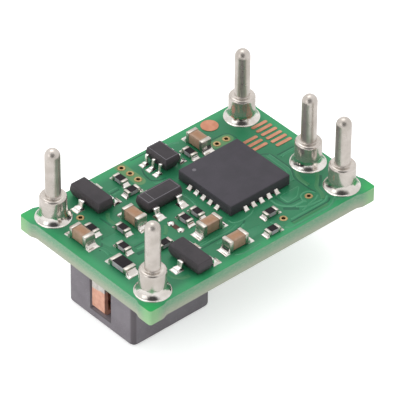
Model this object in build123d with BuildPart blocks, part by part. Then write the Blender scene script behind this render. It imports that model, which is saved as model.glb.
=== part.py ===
from build123d import *
from math import cos, radians, sin, tan
import os

os.makedirs("parts", exist_ok=True)

# Buck converter module, lying on its inductor with its pins up.
# Millimetres, +Z up. The origin is under the middle of the board, on the plane the inductor rests on.
# +X runs along the board towards the end with three pins.

# Circuit board
board_length = 18.92
board_width = 12.57
board_thickness = 1.09
board_corner_round = 0.2
edge_recess = 0.15
corner_land = 1.12
land_slope = 0.32
land_slope_round = 0.5
copper_thickness = 0.035

# Pins: two columns, each this far inside an end of the board
pin_end_margin = 1.5225
pin_row = 9.525
close_pin_pitch = 3.175
pin_radius = 0.51
pin_reach = 3.585
shoulder_radius = 0.89
shoulder_height = 1.78
shoulder_bevel = 0.1
tail_below = 0.55
tail_sides = 12
pin_hole_clearance = 0.1
solder_reach = 1.2
collar_height = 0.52
collar_hollow = 0.6
tail_solder_height = 0.42
tail_solder_reach = 1.02
tail_solder_bevel = 0.38

# Inductor
core_x = -4.93
core_length = 6.47
core_width = 6.34
core_height = 4.55
core_corner = 0.45
core_edge = 0.22
core_floor = 0.74
core_plate_thickness = 0.6
core_standoff = 0.06
post_radius = 1.2
coil_clearance = 0.06
coil_width = 1.2
coil_to_wall = 0.12
wire_thickness = 0.3
coil_turns = 4
coil_sides = 16
coil_pitch = 0.68
crossover_length = 0.8
crossover_width = 1.1
lead_width = 1.2
lead_shift = 0.3
lead_recess = 0.1
lead_bend = 0.34
lead_root_bend = 0.12
lead_half_turn = 22.5
lead_root = 0.45
foot_length = 0.95
foot_clearance = 0.15
window_width = 1.95
foot_land_toe = 0.35

# Solder under and beside the parts
solder_film = 0.05
solder_hollow = 0.6

# Controller: square no-lead package
controller_place = (2.95, -0.07)
controller_size = 5.0
controller_height = 0.78
controller_edge = 0.04
terminal_pitch = 0.65
terminals_per_side = 5
terminal_width = 0.34
terminal_length = 0.5
terminal_height = 0.2
thermal_pad_size = 3.2
terminal_toe = 0.25
terminal_climb = 0.3

# Six-lead driver
driver_place = (0.82, 4.35)
driver_length = 2.0
driver_width = 1.25
driver_height = 0.95
driver_parting_share = 0.6
driver_span = 2.1
driver_lead_pitch = 0.65
driver_lead_width = 0.22
driver_lead_thickness = 0.12
driver_foot = 0.25

# Three-lead transistors: place and the heading of their single lead in degrees
transistor_places = {
    "transistor_1": (-5.19, 4.3, 180),
    "transistor_2": (-2.0, 1.48, 90),
    "transistor_3": (-4.42, -4.28, 180),
}
transistor_length = 2.92
transistor_width = 1.3
transistor_height = 0.85
transistor_parting_share = 0.48
transistor_span = 2.4
transistor_lead_pitch = 1.9
transistor_lead_width = 0.44
transistor_lead_thickness = 0.13
transistor_foot = 0.35

# Moulded bodies with leads
body_standoff = 0.1
upper_taper = 9
lower_taper = 18
lead_slant = 0.05
lead_toe = 0.28
lead_solder_margin = 0.1

# Chip capacitors: place and the heading of their long axis
capacitor_places = {
    "capacitor_1": (-8.1, 1.78, 90),
    "capacitor_2": (-4.43, 1.06, 90),
    "capacitor_3": (3.78, 4.28, 90),
    "capacitor_4": (-1.43, -2.65, 0),
    "capacitor_5": (-1.22, -4.87, 0),
}
capacitor_length = 1.6
capacitor_width = 0.8
capacitor_height = 0.8
capacitor_band = 0.3
capacitor_toe = 0.42
capacitor_climb = 0.42

# Output capacitors on the inductor's side
output_capacitor_places = {
    "output_capacitor_1": (1.3, 2.3, 90),
    "output_capacitor_2": (1.3, -2.3, 90),
}
output_capacitor_length = 3.2
output_capacitor_width = 1.6
output_capacitor_height = 1.6
output_capacitor_band = 0.5
output_capacitor_toe = 0.45
output_capacitor_climb = 0.7

# End caps of the chip capacitors
cap_thickness = 0.03
cap_bevel = 0.05

# Small chip resistors: place and the heading of their long axis
resistor_places = [
    (-7.08, 2.05, 90),
    (-2.48, 4.68, 90),
    (-2.67, 3.33, 0),
    (-5.57, 0.81, 90),
    (-6.73, -0.61, 90),
    (2.68, 3.87, 90),
    (-1.98, -1.03, 90),
    (-1.0, -1.03, 90),
    (2.47, -4.03, 0),
    (1.41, -5.42, 0),
    (-4.58, -2.02, 0),
]
resistor_length = 1.0
resistor_width = 0.5
resistor_height = 0.33
resistor_band = 0.22
resistor_toe = 0.22
resistor_climb = 0.2

# Large chip resistor
large_resistor_place = (-7.9, -1.88, 90)
large_resistor_length = 1.6
large_resistor_width = 0.85
large_resistor_height = 0.42
large_resistor_band = 0.3
large_resistor_toe = 0.38
large_resistor_climb = 0.3

# Films and end terminations of the chip resistors
film_thickness = 0.025
termination_thickness = 0.02

# Unused place: two solder bumps with a bare strip between them
bump_places = [(-2.84, -0.62), (-2.8, -1.5)]
bump_radius = 0.24
bump_height = 0.14
bump_sides = 12
bump_taper = 45
strip_length = 0.4
strip_width = 0.34
strip_thickness = 0.02

# Vias
via_places = [
    (-1.53, 5.69),
    (-1.47, 4.125),
    (-6.74, 3.56),
    (4.76, 3.6),
    (5.56, 3.6),
    (5.59, -4.22),
    (2.86, -4.84),
]
plugged_via_place = (-1.47, 4.91)
via_bore_radius = 0.13
via_plating = 0.03
via_land_radius = 0.27
via_sides = 10
plug_recess = 0.04

# Bare copper: a round target and two columns of bars, each column by its x and first y
target_place = (5.66, 5.34)
target_radius = 0.59
mark_columns = ((8.15, 3.3), (6.6, 2.5))
bars_per_column = (6, 3)
mark_length = 1.3
mark_width = 0.26
mark_pitch = 0.47

# Levels
board_underside = core_height + core_standoff
board_top = board_underside + board_thickness
pin_tip = board_top + shoulder_height + pin_reach
coil_inner = post_radius + coil_clearance
coil_outer = coil_inner + coil_width
cavity_radius = coil_outer + coil_to_wall
cup_height = core_height - core_plate_thickness
coil_bottom = core_floor + coil_clearance


def finish(piece, name):
    """Label a finished piece and write it to its own file."""
    piece.part.label = name
    export_step(piece.part, f"parts/{name}.step")


def flat_plane(place, level):
    """Plane parallel to the board at a place, with its x along the heading."""
    x, y, heading = place
    return Plane(
        origin=(x, y, level),
        x_dir=(cos(radians(heading)), sin(radians(heading)), 0),
        z_dir=(0, 0, 1),
    )


def upright_plane(place, level, outwards=0.0, sideways=0.0, heading=0.0, down=False):
    """Upright plane beside a place: its x points away from the part, its y away from the board."""
    x, y, own_heading = place
    turn = radians(own_heading + heading)
    away = Vector(cos(turn), sin(turn), 0)
    across = Vector(-sin(turn), cos(turn), 0)
    origin = Vector(x, y, level) + away * outwards + across * sideways
    normal = across if down else across * -1
    return Plane(origin=origin, x_dir=away, z_dir=normal)


# Pins stand on a rectangle, with the fifth one beside a corner of it
pin_x = board_length / 2 - pin_end_margin
pin_y = pin_row / 2
pin_places = [
    (-pin_x, pin_y),
    (-pin_x, -pin_y),
    (pin_x, pin_y),
    (pin_x, -pin_y + close_pin_pitch),
    (pin_x, -pin_y),
]
pin_hole_radius = pin_radius + pin_hole_clearance
via_hole_radius = via_bore_radius + via_plating


# Circuit board
def edge_rebate(run, edge, along_x):
    """Shallow trapezium taken off one edge between the corner lands."""
    half = run / 2 - corner_land
    inner = edge - edge_recess if edge > 0 else edge + edge_recess
    corners = [(-half, edge), (-half + land_slope, inner), (half - land_slope, inner), (half, edge)]
    if not along_x:
        corners = [(v, u) for u, v in corners]
    with BuildSketch() as rebate:
        with BuildLine():
            Polyline(*corners, close=True)
        make_face()
    return rebate.sketch


with BuildPart() as circuit_board:
    with BuildSketch(Plane.XY.offset(board_underside)) as outline:
        Rectangle(board_length, board_width)
        for side in (-1, 1):
            add(edge_rebate(board_length, side * board_width / 2, True), mode=Mode.SUBTRACT)
            add(edge_rebate(board_width, side * board_length / 2, False), mode=Mode.SUBTRACT)
        corners = outline.vertices().sort_by_distance((0, 0, 0))[-4:]
        slopes = outline.vertices() - corners
        fillet(slopes, land_slope_round)
        corners = outline.vertices().sort_by_distance((0, 0, 0))[-4:]
        fillet(corners, board_corner_round)
        with Locations(*pin_places):
            RegularPolygon(pin_hole_radius, tail_sides, mode=Mode.SUBTRACT)
        with Locations(*via_places, plugged_via_place):
            RegularPolygon(via_hole_radius, via_sides, mode=Mode.SUBTRACT)
    extrude(amount=board_thickness)
finish(circuit_board, "circuit_board")


# Vias
def via_ring(level, amount, outer):
    """Many-sided ring round the bore of each via."""
    with BuildSketch(Plane.XY.offset(level)) as ring:
        with Locations(*via_places, plugged_via_place):
            RegularPolygon(outer, via_sides)
            RegularPolygon(via_bore_radius, via_sides, mode=Mode.SUBTRACT)
    extrude(ring.sketch, amount=amount)


with BuildPart() as vias:
    via_ring(board_underside, board_thickness, via_hole_radius)
    via_ring(board_top, copper_thickness, via_land_radius)
finish(vias, "vias")

with BuildPart() as via_plug:
    with BuildSketch(Plane.XY.offset(board_underside)):
        with Locations(plugged_via_place):
            RegularPolygon(via_bore_radius, via_sides)
    extrude(amount=board_thickness - plug_recess)
finish(via_plug, "via_plug")


# Pins
def section_plane(x, y):
    """Upright plane through an axis at x, y, with its x as the radius and its y as the height."""
    return Plane(origin=(x, y, 0), x_dir=(1, 0, 0), z_dir=(0, -1, 0))


def upright_axis(x, y):
    """Axis of a pin at x, y."""
    return Axis((x, y, 0), (0, 0, 1))


dome_start = pin_tip - pin_radius
shoulder_top = board_top + shoulder_height
for number, (x, y) in enumerate(pin_places, start=1):
    with BuildPart() as pin:
        with BuildSketch(section_plane(x, y)):
            with BuildLine():
                Polyline(
                    (0, pin_tip),
                    (0, board_top),
                    (shoulder_radius, board_top),
                    (shoulder_radius, shoulder_top - shoulder_bevel),
                    (shoulder_radius - shoulder_bevel, shoulder_top),
                    (pin_radius, shoulder_top),
                    (pin_radius, dome_start),
                )
                RadiusArc((pin_radius, dome_start), (0, pin_tip), -pin_radius)
            make_face()
        revolve(axis=upright_axis(x, y))
        with BuildSketch(Plane.XY.offset(board_top)):
            with Locations((x, y)):
                RegularPolygon(pin_radius, tail_sides)
        extrude(amount=-(board_thickness + tail_below))
    finish(pin, f"pin_{number}")


def hollow_point(wall, crest, toe, foot, share):
    """Middle point of a solder surface that sinks towards the corner of its wall and foot."""
    return (wall + (toe - wall) * (1 - share), foot + (crest - foot) * (1 - share))


# Solder collars round the shoulders
collar_crest = board_top + collar_height
collar_outline = [
    (shoulder_radius, board_top),
    (solder_reach, board_top),
    hollow_point(shoulder_radius, collar_crest, solder_reach, board_top, collar_hollow),
    (shoulder_radius, collar_crest),
]
with BuildPart() as pin_collars:
    for x, y in pin_places:
        with BuildSketch(section_plane(x, y)):
            with BuildLine():
                Polyline(*collar_outline, close=True)
            make_face()
        revolve(axis=upright_axis(x, y))
finish(pin_collars, "pin_solder_collars")

# Solder that fills the pin holes and rises round the tails
with BuildPart() as tail_joints:
    with BuildSketch(Plane.XY.offset(board_underside)):
        with Locations(*pin_places):
            RegularPolygon(pin_hole_radius, tail_sides)
    extrude(amount=board_thickness)
    with BuildSketch(Plane.XY.offset(board_underside)):
        with Locations(*pin_places):
            RegularPolygon(tail_solder_reach, tail_sides)
    extrude(amount=-tail_solder_height)
    chamfer(tail_joints.edges().group_by(Axis.Z)[0], tail_solder_bevel)
    with BuildSketch(Plane.XY.offset(board_top)):
        with Locations(*pin_places):
            RegularPolygon(pin_radius, tail_sides)
    extrude(amount=-(board_thickness + tail_solder_height), mode=Mode.SUBTRACT)
finish(tail_joints, "pin_tail_solder")


# Inductor core
with BuildPart() as inductor_core:
    with BuildSketch():
        with Locations((core_x, 0)):
            RectangleRounded(core_length, core_width, core_corner)
    extrude(amount=cup_height)
    chamfer(inductor_core.edges().group_by(Axis.Z)[0], core_edge)
    with BuildSketch(Plane.XY.offset(core_floor)):
        with Locations((core_x, 0)):
            Circle(cavity_radius)
            Circle(post_radius, mode=Mode.SUBTRACT)
    extrude(amount=cup_height - core_floor, mode=Mode.SUBTRACT)
    with BuildSketch(Plane.XY.offset(core_floor)):
        window_inner = post_radius + coil_clearance + coil_width / 2
        window_run = core_length / 2 - window_inner
        for side in (-1, 1):
            with Locations((core_x + side * (window_inner + window_run / 2), 0)):
                Rectangle(window_run, window_width)
    extrude(amount=cup_height - core_floor, mode=Mode.SUBTRACT)
finish(inductor_core, "inductor_core")

notch_run = lead_recess + foot_length + foot_clearance
with BuildPart() as core_plate:
    with BuildSketch(Plane.XY.offset(cup_height)):
        with Locations((core_x, 0)):
            RectangleRounded(core_length, core_width, core_corner)
        for side in (-1, 1):
            with Locations((core_x + side * (core_length - notch_run) / 2, 0)):
                Rectangle(notch_run, window_width, mode=Mode.SUBTRACT)
    extrude(amount=core_plate_thickness)
finish(core_plate, "inductor_core_plate")

# Inductor winding: flat turns joined by crossovers, with a flat lead down each window
foot_level = board_underside - copper_thickness - solder_film - wire_thickness / 2
lead_face = core_length / 2 - lead_recess - wire_thickness / 2
with BuildPart() as winding:
    for turn in range(coil_turns):
        with BuildSketch(Plane.XY.offset(coil_bottom + turn * coil_pitch)):
            with Locations((core_x, 0)):
                RegularPolygon(coil_outer, coil_sides)
                RegularPolygon(coil_inner, coil_sides, major_radius=False, mode=Mode.SUBTRACT)
            with Locations((core_x, coil_outer)):
                Rectangle(crossover_length, 2 * coil_outer, mode=Mode.SUBTRACT)
        extrude(amount=wire_thickness)
    for turn in range(coil_turns - 1):
        low = coil_bottom + turn * coil_pitch
        high = low + coil_pitch
        half = crossover_length / 2
        with BuildSketch(Plane(origin=(core_x, coil_inner, 0), x_dir=(1, 0, 0), z_dir=(0, -1, 0))):
            with BuildLine():
                Polyline(
                    (-half, low),
                    (half, high),
                    (half, high + wire_thickness),
                    (-half, low + wire_thickness),
                    close=True,
                )
            make_face()
        extrude(amount=-crossover_width)
    for side, turn in ((-1, 0), (1, coil_turns - 1)):
        root_level = coil_bottom + turn * coil_pitch + wire_thickness / 2
        lead_middle = -side * lead_shift
        lead_plane = Plane(
            origin=(core_x, lead_middle + lead_width / 2, 0), x_dir=(1, 0, 0), z_dir=(0, -1, 0)
        )
        with BuildSketch(lead_plane):
            with BuildLine():
                Polyline(
                    (side * (coil_outer - lead_root), root_level),
                    (side * (lead_face - lead_root_bend), root_level),
                    (side * lead_face, root_level + lead_root_bend),
                    (side * lead_face, foot_level - lead_bend),
                    (side * (lead_face - lead_bend), foot_level),
                    (side * (lead_face - foot_length), foot_level),
                )
            trace(line_width=wire_thickness)
        extrude(amount=lead_width)
finish(winding, "inductor_winding")


# Solder joints with a film under the part and a slope beside it
def solder_joint(plane, under, toe, climb, width, hollow=False):
    """Joint of a given width: x points away from the part's end face, y away from the board."""
    crest = solder_film + climb
    slope = [hollow_point(0, crest, toe, 0, solder_hollow)] if hollow else []
    with BuildSketch(plane) as profile:
        with BuildLine():
            Polyline(
                (0, crest),
                *slope,
                (toe, 0),
                (-under, 0),
                (-under, solder_film),
                (0, solder_film),
                close=True,
            )
        make_face()
    extrude(profile.sketch, amount=width / 2, both=True)


bend_cut = wire_thickness / 2 * (1 - tan(radians(lead_half_turn)))
with BuildPart() as foot_solder:
    for side, heading in ((-1, 180), (1, 0)):
        foot_plane = upright_plane(
            (core_x, -side * lead_shift, heading),
            board_underside - copper_thickness,
            outwards=lead_face + wire_thickness / 2 - lead_bend,
            down=True,
        )
        with BuildSketch(foot_plane):
            with BuildLine():
                Polyline(
                    (lead_bend + foot_land_toe, 0),
                    (lead_bend - foot_length, 0),
                    (lead_bend - foot_length, solder_film),
                    (-bend_cut, solder_film),
                    (lead_bend, solder_film + lead_bend + bend_cut),
                    close=True,
                )
            make_face()
        extrude(amount=lead_width / 2, both=True)
finish(foot_solder, "inductor_solder")

with BuildPart() as foot_lands:
    with BuildSketch(Plane.XY.offset(board_underside - copper_thickness)):
        land_run = foot_length + foot_land_toe
        for side in (-1, 1):
            middle = lead_face + wire_thickness / 2 + foot_land_toe - land_run / 2
            with Locations((core_x + side * middle, -side * lead_shift)):
                Rectangle(land_run, lead_width + 2 * lead_solder_margin)
    extrude(amount=copper_thickness)
finish(foot_lands, "inductor_lands")

# Controller
seat_level = board_top + solder_film
controller_half = controller_size / 2
terminal_offsets = [
    (index - (terminals_per_side - 1) / 2) * terminal_pitch for index in range(terminals_per_side)
]
quarter_turns = (0, 90, 180, 270)


def terminal_footprints():
    """Rectangles of the edge terminals on all four sides, and of the pad in the middle."""
    cx, cy = controller_place
    for heading in quarter_turns:
        reach = controller_half - terminal_length / 2
        for offset_along in terminal_offsets:
            away = (cos(radians(heading)), sin(radians(heading)))
            spot = (
                cx + away[0] * reach - away[1] * offset_along,
                cy + away[1] * reach + away[0] * offset_along,
            )
            with Locations(Location((spot[0], spot[1], 0), (0, 0, heading))):
                Rectangle(terminal_length, terminal_width)
    with Locations(controller_place):
        Rectangle(thermal_pad_size, thermal_pad_size)


with BuildPart() as controller_body:
    with BuildSketch(Plane.XY.offset(seat_level)):
        with Locations(controller_place):
            Rectangle(controller_size, controller_size)
    extrude(amount=controller_height)
    chamfer(controller_body.edges().group_by(Axis.Z)[-1], controller_edge)
    with BuildSketch(Plane.XY.offset(seat_level)):
        terminal_footprints()
    extrude(amount=terminal_height, mode=Mode.SUBTRACT)
finish(controller_body, "controller_body")

with BuildPart() as controller_terminals:
    with BuildSketch(Plane.XY.offset(seat_level)):
        terminal_footprints()
    extrude(amount=terminal_height)
finish(controller_terminals, "controller_terminals")

with BuildPart() as controller_solder:
    for heading in quarter_turns:
        for offset_along in terminal_offsets:
            plane = upright_plane(
                (*controller_place, 0), board_top, controller_half, offset_along, heading
            )
            solder_joint(plane, terminal_length, terminal_toe, terminal_climb, terminal_width)
    with BuildSketch(Plane.XY.offset(board_top)):
        with Locations(controller_place):
            Rectangle(thermal_pad_size, thermal_pad_size)
    extrude(amount=solder_film)
finish(controller_solder, "controller_solder")


# Moulded bodies with gull-wing leads
def moulded_body(place, length, width, height, parting_share):
    """Body with sides that taper both ways from the parting line; its length runs across the heading."""
    under = height * parting_share
    parting = board_top + body_standoff + under
    with BuildPart() as body:
        for amount, taper in ((height - under, upper_taper), (-under, lower_taper)):
            with BuildSketch(flat_plane(place, parting)):
                Rectangle(width, length)
            extrude(amount=amount, taper=taper)
    return body


def gull_wing(plane, width, span, exit_level, lead_width, thickness, foot):
    """One lead from the body's side to its foot; the plane stands at the body's middle."""
    foot_level = solder_film + thickness / 2
    knee = span / 2 - foot
    with BuildSketch(plane) as profile:
        with BuildLine():
            Polyline(
                (width / 2, exit_level),
                (knee, exit_level),
                (knee + lead_slant, foot_level),
                (span / 2, foot_level),
            )
        trace(line_width=thickness)
    extrude(profile.sketch, amount=lead_width / 2, both=True)


def leads_and_solder(name, place, leads, width, span, under, lead_width, thickness, foot):
    """Write the leads of one package, which leave it at its parting line, and their solder."""
    with BuildPart() as lead_group:
        for heading, sideways in leads:
            plane = upright_plane(place, board_top, 0, sideways, heading)
            gull_wing(plane, width, span, body_standoff + under, lead_width, thickness, foot)
    finish(lead_group, f"{name}_leads")
    with BuildPart() as solder_group:
        for heading, sideways in leads:
            plane = upright_plane(place, board_top, span / 2, sideways, heading)
            joint_width = lead_width + 2 * lead_solder_margin
            solder_joint(plane, foot, lead_toe, thickness, joint_width)
    finish(solder_group, f"{name}_solder")


driver_leads = [
    (heading, sideways * driver_lead_pitch) for heading in (0, 180) for sideways in (-1, 0, 1)
]
driver_body = moulded_body(
    (*driver_place, 0), driver_length, driver_width, driver_height, driver_parting_share
)
finish(driver_body, "driver_body")
leads_and_solder(
    "driver", (*driver_place, 0), driver_leads, driver_width, driver_span,
    driver_height * driver_parting_share, driver_lead_width, driver_lead_thickness, driver_foot,
)

transistor_leads = [
    (0, 0), (180, -transistor_lead_pitch / 2), (180, transistor_lead_pitch / 2)
]
for name, place in transistor_places.items():
    body = moulded_body(
        place, transistor_length, transistor_width, transistor_height, transistor_parting_share
    )
    finish(body, f"{name}_body")
    leads_and_solder(
        name, place, transistor_leads, transistor_width, transistor_span,
        transistor_height * transistor_parting_share, transistor_lead_width,
        transistor_lead_thickness, transistor_foot,
    )


# Chip parts
def chip_capacitor(name, place, length, width, height, band, below=False):
    """Write the ceramic body and the two end caps of one chip capacitor."""
    level = board_underside - solder_film - height if below else seat_level
    along = Axis((0, 0, 0), flat_plane(place, level).x_dir)
    with BuildPart() as ceramic:
        with BuildSketch(flat_plane(place, level + cap_thickness)):
            Rectangle(length - 2 * cap_thickness, width - 2 * cap_thickness)
        extrude(amount=height - 2 * cap_thickness)
    finish(ceramic, name)
    with BuildPart() as caps:
        with BuildSketch(flat_plane(place, level)):
            Rectangle(length, width)
        extrude(amount=height)
        ends = caps.faces().sort_by(along)
        chamfer(ends[0].edges() + ends[-1].edges(), cap_bevel)
        with BuildSketch(flat_plane(place, level)):
            Rectangle(length - 2 * band, width)
        extrude(amount=height, mode=Mode.SUBTRACT)
        add(ceramic.part, mode=Mode.SUBTRACT)
    finish(caps, f"{name}_end_caps")


def chip_solder(name, places, length, width, band, toe, climb, hollow=False, below=False):
    """Write the solder at both ends of each chip part in a group."""
    level = board_underside if below else board_top
    with BuildPart() as joints:
        for place in places:
            for heading in (0, 180):
                plane = upright_plane(place, level, length / 2, 0, heading, below)
                solder_joint(plane, band, toe, climb, width, hollow)
    finish(joints, name)


for name, place in capacitor_places.items():
    chip_capacitor(
        name, place, capacitor_length, capacitor_width, capacitor_height, capacitor_band
    )
chip_solder(
    "capacitor_solder", capacitor_places.values(), capacitor_length, capacitor_width,
    capacitor_band, capacitor_toe, capacitor_climb, hollow=True,
)

for name, place in output_capacitor_places.items():
    chip_capacitor(
        name, place, output_capacitor_length, output_capacitor_width, output_capacitor_height,
        output_capacitor_band, below=True,
    )
chip_solder(
    "output_capacitor_solder", output_capacitor_places.values(), output_capacitor_length,
    output_capacitor_width, output_capacitor_band, output_capacitor_toe,
    output_capacitor_climb, hollow=True, below=True,
)


def chip_resistors(name, places, length, width, height, band):
    """Write the ceramic bodies, resistive films and end terminations of a group of chip resistors."""
    core_level = seat_level + termination_thickness
    body_height = height - 2 * termination_thickness
    with BuildPart() as bodies:
        for place in places:
            with BuildSketch(flat_plane(place, core_level)):
                Rectangle(length - 2 * band, width)
            extrude(amount=body_height)
    finish(bodies, f"{name}_bodies")
    with BuildPart() as films:
        for place in places:
            with BuildSketch(flat_plane(place, core_level + body_height)):
                Rectangle(length - 2 * band, width)
            extrude(amount=film_thickness)
    finish(films, f"{name}_films")
    with BuildPart() as terminations:
        for place in places:
            with BuildSketch(flat_plane(place, seat_level)):
                for side in (-1, 1):
                    with Locations((side * (length - band) / 2, 0)):
                        Rectangle(band, width)
            extrude(amount=height)
    finish(terminations, f"{name}_terminations")


chip_resistors(
    "resistor", resistor_places, resistor_length, resistor_width, resistor_height, resistor_band
)
chip_solder(
    "resistor_solder", resistor_places, resistor_length, resistor_width, resistor_band,
    resistor_toe, resistor_climb,
)
chip_resistors(
    "large_resistor", [large_resistor_place], large_resistor_length, large_resistor_width,
    large_resistor_height, large_resistor_band,
)
chip_solder(
    "large_resistor_solder", [large_resistor_place], large_resistor_length, large_resistor_width,
    large_resistor_band, large_resistor_toe, large_resistor_climb, hollow=True,
)

# Unused place
with BuildPart() as bumps:
    with BuildSketch(Plane.XY.offset(board_top)):
        with Locations(*bump_places):
            RegularPolygon(bump_radius, bump_sides)
    extrude(amount=bump_height, taper=bump_taper)
finish(bumps, "bare_solder_bumps")

with BuildPart() as bare_strip:
    with BuildSketch(Plane.XY.offset(board_top)):
        strip_middle = [(a + b) / 2 for a, b in zip(*bump_places)]
        with Locations(tuple(strip_middle)):
            Rectangle(strip_width, strip_length)
    extrude(amount=strip_thickness)
finish(bare_strip, "bare_strip")

# Bare copper target and marks
with BuildPart() as copper_marks:
    with BuildSketch(Plane.XY.offset(board_top)):
        with Locations(target_place):
            Circle(target_radius)
        for (column, first), count in zip(mark_columns, bars_per_column):
            with Locations(*[(column, first - row * mark_pitch) for row in range(count)]):
                Rectangle(mark_length, mark_width)
    extrude(amount=copper_thickness)
finish(copper_marks, "copper_marks")
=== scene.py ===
import bpy
import bmesh
from math import cos, pi, radians, sin
from mathutils import Matrix, Vector, noise


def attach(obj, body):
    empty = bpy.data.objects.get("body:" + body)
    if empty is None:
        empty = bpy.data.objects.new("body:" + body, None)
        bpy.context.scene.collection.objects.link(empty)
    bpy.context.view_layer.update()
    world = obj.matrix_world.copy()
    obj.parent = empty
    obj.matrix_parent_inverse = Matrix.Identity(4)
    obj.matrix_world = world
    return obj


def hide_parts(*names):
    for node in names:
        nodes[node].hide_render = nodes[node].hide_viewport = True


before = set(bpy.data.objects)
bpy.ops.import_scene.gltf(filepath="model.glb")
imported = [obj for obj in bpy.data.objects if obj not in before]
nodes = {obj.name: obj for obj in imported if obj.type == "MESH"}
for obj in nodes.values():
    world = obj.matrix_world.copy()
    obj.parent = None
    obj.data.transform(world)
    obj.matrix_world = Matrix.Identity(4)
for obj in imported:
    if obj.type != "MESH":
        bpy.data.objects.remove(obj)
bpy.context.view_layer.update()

# Board, in millimetres: its two faces, and its routed edges between the corner lands
MM = 0.001
BOARD_TOP = 5.70
BOARD_UNDER = 4.61
ROUTED_X = 9.31
ROUTED_Y = 6.135

# Vias: bore and ring, whose top stands proud of the board; one via is plugged
OPEN_VIAS = [
    (-1.53, 5.69), (-1.47, 4.125), (-6.74, 3.56), (4.76, 3.6), (5.56, 3.6), (5.59, -4.22), (2.86, -4.84),
]
PLUGGED_VIA = (-1.47, 4.91)
VIA_BORE = 0.13
VIA_RIM = 0.27
VIA_LIFT = 0.035

# Pale strips of mask round two rows of vias: middle, and run to each side
VIA_STRIPS = [((-1.5, 4.9), (0.0, 0.95)), ((5.15, 3.6), (0.5, 0.0))]
STRIP_REACH = 0.4
STRIP_FADE = 0.06

# Pins: turned, on a grid of an eighth of an inch
PIN_GRID = 3.175
PIN_STEPS = [(-2.5, 1.5), (-2.5, -1.5), (2.5, 1.5), (2.5, -0.5), (2.5, -1.5)]
PIN_PLACES = [(x * PIN_GRID, y * PIN_GRID) for x, y in PIN_STEPS]
PIN_TIP = BOARD_TOP + 5.365
SHAFT_RADIUS = 0.51
SHOULDER_RADIUS = 0.89
SHOULDER_TOP = BOARD_TOP + 1.78
SHOULDER_ROUND = 0.19
NECK_ROUND = 0.05
TAIL_RADIUS = 0.49
TAIL_END = 4.06
TAIL_CHAMFER = 0.07
COLLAR_HEIGHT = 0.6
COLLAR_RADIUS = 1.215
COLLAR_HOLLOW = 0.7
TAIL_SOLDER_DROP = 0.42
TAIL_SOLDER_RADIUS = 1.02

# Chip parts: length, then x, y and heading in degrees of each
CAPACITOR_LENGTH = 1.6
CAPACITORS = [(-8.1, 1.78, 90), (-4.43, 1.06, 90), (3.78, 4.28, 90), (-1.43, -2.65, 0), (-1.22, -4.87, 0)]
OUTPUT_CAPACITOR_LENGTH = 3.2
OUTPUT_CAPACITORS = [(1.3, 2.3, 90), (1.3, -2.3, 90)]
RESISTOR_LENGTH = 1.0
RESISTORS = [
    (-7.08, 2.05, 90), (-2.48, 4.68, 90), (-2.67, 3.33, 0), (-5.57, 0.81, 90), (-6.73, -0.61, 90),
    (2.68, 3.87, 90), (-1.98, -1.03, 90), (-1.0, -1.03, 90), (2.47, -4.03, 0), (1.41, -5.42, 0),
    (-4.58, -2.02, 0),
]
LARGE_RESISTOR_LENGTH = 1.6
LARGE_RESISTORS = [(-7.9, -1.88, 90)]

# Solder bumps of the unused place
BUMPS = [(-2.84, -0.62), (-2.8, -1.5)]
BUMP_RADIUS = 0.26
BUMP_HEIGHT = 0.16

# Packages: place, height of the top, reach to the toes, and leads as heading and sideways place
CONTROLLER = (2.95, -0.07)
CONTROLLER_TOP = BOARD_TOP + 0.05 + 0.78
CONTROLLER_DOT = (CONTROLLER[0] - 1.77, CONTROLLER[1] + 1.82)
TERMINAL_REACH = 2.5
TERMINAL_PITCH = 0.65
TERMINALS_PER_SIDE = 5
STANDOFF = 0.1
DRIVER = (0.82, 4.35, 0)
DRIVER_TOP = BOARD_TOP + STANDOFF + 0.95
DRIVER_REACH = 1.05
DRIVER_LEADS = [(heading, side * 0.65) for heading in (0, 180) for side in (-1, 0, 1)]
TRANSISTORS = [(-5.19, 4.3, 180), (-2.0, 1.48, 90), (-4.42, -4.28, 180)]
TRANSISTOR_TOP = BOARD_TOP + STANDOFF + 0.85
TRANSISTOR_REACH = 1.2
TRANSISTOR_LEADS = [(0, 0), (180, -0.95), (180, 0.95)]

# Height at which the tin on the winding ends
TIN_LINE = 2.62


# Colours and shader helpers
def srgb(red, green, blue):
    """Linear colour of an 8-bit one."""
    linear = []
    for value in (red, green, blue):
        share = value / 255
        linear.append(share / 12.92 if share <= 0.04045 else ((share + 0.055) / 1.055) ** 2.4)
    return (*linear, 1.0)


class Nodes:
    """Short calls that add nodes to the tree of a material or of the world."""

    def __init__(self, tree):
        self.tree = tree

    def node(self, kind, inputs=(), **settings):
        made = self.tree.nodes.new(kind)
        for key, value in settings.items():
            setattr(made, key, value)
        for key, value in dict(inputs).items():
            if isinstance(value, bpy.types.NodeSocket):
                self.tree.links.new(value, made.inputs[key])
            else:
                made.inputs[key].default_value = value
        return made

    def math(self, operation, first, second=0.0):
        return self.node("ShaderNodeMath", {0: first, 1: second}, operation=operation).outputs[0]

    def ramp(self, value, low, high, to_low=0.0, to_high=1.0):
        """A soft change from to_low to to_high while the value goes from low to high."""
        inputs = {"Value": value, "From Min": low, "From Max": high, "To Min": to_low, "To Max": to_high}
        return self.node("ShaderNodeMapRange", inputs, interpolation_type="SMOOTHSTEP").outputs["Result"]

    def split(self, vector):
        return self.node("ShaderNodeSeparateXYZ", {0: vector}).outputs


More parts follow.
